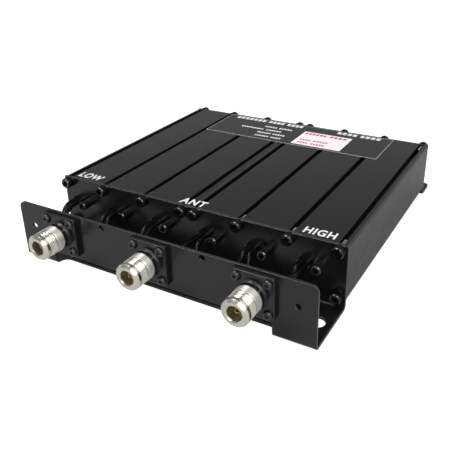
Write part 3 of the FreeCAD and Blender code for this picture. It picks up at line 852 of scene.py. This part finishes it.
class DUPLEXER_OT_fasteners(PieceOperator, bpy.types.Operator):
    """Turn the screws and nuts with their sockets, domes, chamfers and threads"""

    bl_idname = "duplexer.fasteners"
    bl_label = "Fasteners"

    def execute(self, context):
        # The knurl's finish is a less glossy oxide that paints shade on the knurl and in the socket.
        cap = ("oxide", "knurl", "dry_oxide")
        for name, size, head, seat, way, finishes in (
                ("front_cover_screws", COVER_SCREW, cap_head, COVER_FRONT - WASHER_THICKNESS, 1, cap),
                ("rear_cover_screws", COVER_SCREW, cap_head, REAR_BACK + WASHER_THICKNESS, -1, cap),
                ("flange_screws", FLANGE_SCREW, button_head, FLANGE_FRONT, 1, ("dry_oxide",))):
            finish_with(screws(name, size, head, seat, way), *(MATERIALS[finish] for finish in finishes))
        grids = [nut_grid(FLANGE_NUT, at.x, at.z, PANEL_BACK, number * GOLDEN_TURN)
                 for number, at in enumerate(separate_middles("flange_nuts"))]
        nuts = build("flange_nuts_chamfered", grids, wrap_rows=True, smooth_angle=25)
        finish_with(nuts, MATERIALS["oxide"])
        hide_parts("flange_nuts")
        return {"FINISHED"}


class DUPLEXER_OT_tuning(PieceOperator, bpy.types.Operator):
    """Turn the six tuning screws with their threads and sockets"""

    bl_idname = "duplexer.tuning"
    bl_label = "Tuning screws"

    def execute(self, context):
        for number in CAVITIES:
            finish_with(tuning_screw(number), MATERIALS["oxide"])
        return {"FINISHED"}


class DUPLEXER_OT_solder(PieceOperator, bpy.types.Operator):
    """Put a solder joint on each jack's turret where its leads end"""

    bl_idname = "duplexer.solder"
    bl_label = "Solder joints"

    def execute(self, context):
        for jack in JACKS:
            low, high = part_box(jack + "_jack_contact")
            centre = ((low.x + high.x) / 2, high.y - SOLDER_FROM_END, (low.z + high.z) / 2)
            grid = blob_grid(centre, SOLDER_RADII)
            piece = build(jack + "_solder_joint", [grid], smooth_angle=180)
            finish_with(piece, MATERIALS["solder"])
        return {"FINISHED"}


class DUPLEXER_OT_print(PieceOperator, bpy.types.Operator):
    """Print the port names and lay the label, its sticker and their plain bars on the top"""

    bl_idname = "duplexer.print"
    bl_label = "Print and label"

    def execute(self, context):
        look = context.scene.duplexer_look
        for text, (x_from, x_to, foot) in WORDS.items():
            print_word(text, x_from * MM, x_to * MM, foot * MM, look.word_height)
        base = TOP + PRINT_LIFT
        top = base + look.label_thickness
        label = plate("label", LABEL, base, look.label_thickness)
        finish_with(label, MATERIALS["vinyl"], MATERIALS["rim"])
        rim = [abs(face.normal.z) < 0.5 for face in label.data.polygons]
        label.data.polygons.foreach_set("material_index", np.array(rim, dtype=np.int32))
        bars("label_bars", WHITE_BARS, top, "white_ink")
        bars("label_border", BORDER_BARS, top, "rim", letters=False)
        finish_with(plate("sticker", STICKER, top, PAPER_THICKNESS), MATERIALS["sticker"])
        bars("sticker_bars", RED_BARS, top + PAPER_THICKNESS, "red_ink")
        return {"FINISHED"}


class DUPLEXER_OT_stage(PieceOperator, bpy.types.Operator):
    """Lay the floor, light it softly and set the camera at the photograph's angle"""

    bl_idname = "duplexer.stage"
    bl_label = "Stage"

    def execute(self, context):
        look = context.scene.duplexer_look
        make_floor(look.background)
        make_world(look.background)
        make_lamps(look.lamp_power)
        make_camera()
        return {"FINISHED"}


# Camera and studio: places in metres, angles in degrees, lens and sensor in millimetres

CAMERA_PLACE = Vector((188.5, -247.9, 203.2)) * MM
CAMERA_AZIMUTH, CAMERA_ELEVATION, CAMERA_ROLL = 30.27, 24.78, -1.19
LENS, SENSOR = 48.85, 36.0
SHIFT_X, SHIFT_Y = -0.0252, -0.0870


def make_camera():
    """Camera fitted to the photograph: turned, tilted and rolled about its own place."""
    camera = bpy.data.objects.new("camera", bpy.data.cameras.new("camera"))
    bpy.context.scene.collection.objects.link(camera)
    turn = (Matrix.Rotation(math.radians(CAMERA_AZIMUTH), 4, "Z")
            @ Matrix.Rotation(math.radians(90 - CAMERA_ELEVATION), 4, "X")
            @ Matrix.Rotation(math.radians(CAMERA_ROLL), 4, "Z"))
    camera.matrix_world = Matrix.Translation(CAMERA_PLACE) @ turn
    camera.data.lens, camera.data.sensor_width = LENS, SENSOR
    camera.data.shift_x, camera.data.shift_y = SHIFT_X, SHIFT_Y
    camera.data.clip_start, camera.data.clip_end = 0.01, 20.0
    bpy.context.scene.camera = camera


# The glow rises from GLOW_NEAR to GLOW_FAR between the distances GLOW_FROM and GLOW_TO

FLOOR_HALF, FLOOR_DROP, FLOOR_SHADE = 4.0, 0.1 * MM, 0.46
GLOW_NEAR, GLOW_FAR, GLOW_MIRRORED = 0.84, 1.0, 0.15
GLOW_FROM, GLOW_TO = 0.3, 1.2


def make_floor(background):
    """A pale floor that keeps the object's shadow and shows plain white elsewhere.

    It is grey with a glow on top. The camera sees a glow that grows with the distance from the object,
    mirrors show a faint one, and neither lights anything.
    """
    corners = [(x * FLOOR_HALF, y * FLOOR_HALF, 0) for x, y in ((-1, -1), (1, -1), (1, 1), (-1, 1))]
    mesh = bpy.data.meshes.new("floor")
    mesh.from_pydata(corners, [], [(0, 1, 2, 3)])
    floor = bpy.data.objects.new("floor", mesh)
    bpy.context.scene.collection.objects.link(floor)
    floor.location.z = -FLOOR_DROP
    material = bpy.data.materials.new("pale_floor")
    tree = empty_tree(material)
    rays = add_node(tree, "ShaderNodeLightPath")
    place_at = add_node(tree, "ShaderNodeTexCoord").outputs["Object"]
    distance = add_node(tree, "ShaderNodeVectorMath", {0: place_at}, operation="LENGTH").outputs["Value"]
    rise = map_range(tree, distance, GLOW_FROM, GLOW_TO, GLOW_NEAR, GLOW_FAR)
    seen = calculate(tree, "MULTIPLY", rays.outputs["Is Camera Ray"], rise)
    lift = calculate(tree, "MULTIPLY_ADD", rays.outputs["Is Glossy Ray"], GLOW_MIRRORED, seen)
    shade = tuple(FLOOR_SHADE * value for value in background)
    paper = add_node(tree, "ShaderNodeBsdfDiffuse", {"Color": (*shade, 1.0)})
    glow = add_node(tree, "ShaderNodeEmission", {"Color": (*background, 1.0), "Strength": lift})
    both = add_node(tree, "ShaderNodeAddShader", {0: paper.outputs[0], 1: glow.outputs[0]})
    add_node(tree, "ShaderNodeOutputMaterial", {"Surface": both.outputs[0]})
    mesh.materials.append(material)


SKY_TOP, SKY_RISE, SKY_POWER = 0.2, 0.75, 3.75


def make_world(background):
    """Plain surroundings: white behind the object, and for light a sky that is brightest at its foot.

    The sky's level is SKY_TOP plus SKY_RISE times (1 - height) to the power of SKY_POWER.
    """
    world = bpy.data.worlds.new("studio")
    bpy.context.scene.world = world
    tree = empty_tree(world)
    rays = add_node(tree, "ShaderNodeLightPath")
    way = add_node(tree, "ShaderNodeTexCoord").outputs["Generated"]
    height = add_node(tree, "ShaderNodeSeparateXYZ", {0: way}).outputs["Z"]
    curved = calculate(tree, "POWER", map_range(tree, height, 0.0, 1.0, 1.0, 0.0), SKY_POWER)
    level = calculate(tree, "MULTIPLY_ADD", curved, SKY_RISE, SKY_TOP)
    sky = add_node(tree, "ShaderNodeBackground", {"Color": (*background, 1.0), "Strength": level})
    plain_back = add_node(tree, "ShaderNodeBackground", {"Color": (*background, 1.0), "Strength": 1.0})
    mixed = add_node(tree, "ShaderNodeMixShader", {0: rays.outputs["Is Camera Ray"], 1: sky.outputs[0],
                                                    2: plain_back.outputs[0]})
    add_node(tree, "ShaderNodeOutputWorld", {"Surface": mixed.outputs[0]})


# Each lamp's place, target, width and height in metres, and its share of the lamp power

LAMPS = {
    "overhead_box": ((-0.4, -0.25, 0.95), (0, 0.08, 0), 0.5, 0.4, 1.0),
    "front_box": ((0.65, -0.85, 0.8), (0, 0, 0), 1.0, 0.9, 1.7),
    "rear_card": ((0.55, 0.85, 0.72), (0, 0, 0), 0.9, 0.8, 0.32),
}


def make_lamps(power):
    """A soft box above on the left, a larger one in front on the right and a weak card behind.

    The card is there to be mirrored by the nickel.
    """
    for name, (place_at, target, width, height, share) in LAMPS.items():
        data = bpy.data.lights.new(name, "AREA")
        data.shape = "RECTANGLE"
        data.size, data.size_y = width, height
        data.energy = power * share
        lamp = bpy.data.objects.new(name, data)
        bpy.context.scene.collection.objects.link(lamp)
        lamp.location = place_at
        lamp.rotation_euler = (Vector(target) - Vector(place_at)).to_track_quat("-Z", "Y").to_euler()


class DUPLEXER_PT_panel(bpy.types.Panel):
    """Lists the duplexer's settings and operators"""

    bl_idname = "DUPLEXER_PT_panel"
    bl_label = "Duplexer"
    bl_space_type = "VIEW_3D"
    bl_region_type = "UI"
    bl_category = "Duplexer"

    def draw(self, context):
        look = context.scene.duplexer_look
        for name in DuplexerLook.__annotations__:
            self.layout.prop(look, name)
        for operator in OPERATORS:
            self.layout.operator(operator.bl_idname)


OPERATORS = (DUPLEXER_OT_stage, DUPLEXER_OT_finishes, DUPLEXER_OT_jacks, DUPLEXER_OT_fasteners,
             DUPLEXER_OT_tuning, DUPLEXER_OT_solder, DUPLEXER_OT_print)
CLASSES = (DuplexerLook,) + OPERATORS + (DUPLEXER_PT_panel,)


def register():
    for entry in CLASSES:
        bpy.utils.register_class(entry)
    bpy.types.Scene.duplexer_look = PointerProperty(type=DuplexerLook)


def unregister():
    del bpy.types.Scene.duplexer_look
    for entry in reversed(CLASSES):
        bpy.utils.unregister_class(entry)


def main():
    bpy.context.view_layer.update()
    register()
    bpy.context.scene.view_settings.view_transform = "Standard"
    bpy.ops.duplexer.stage()
    bpy.ops.duplexer.finishes()
    bpy.ops.duplexer.jacks()
    bpy.ops.duplexer.fasteners()
    bpy.ops.duplexer.tuning()
    bpy.ops.duplexer.solder()
    bpy.ops.duplexer.print()


if __name__ == "__main__":
    main()
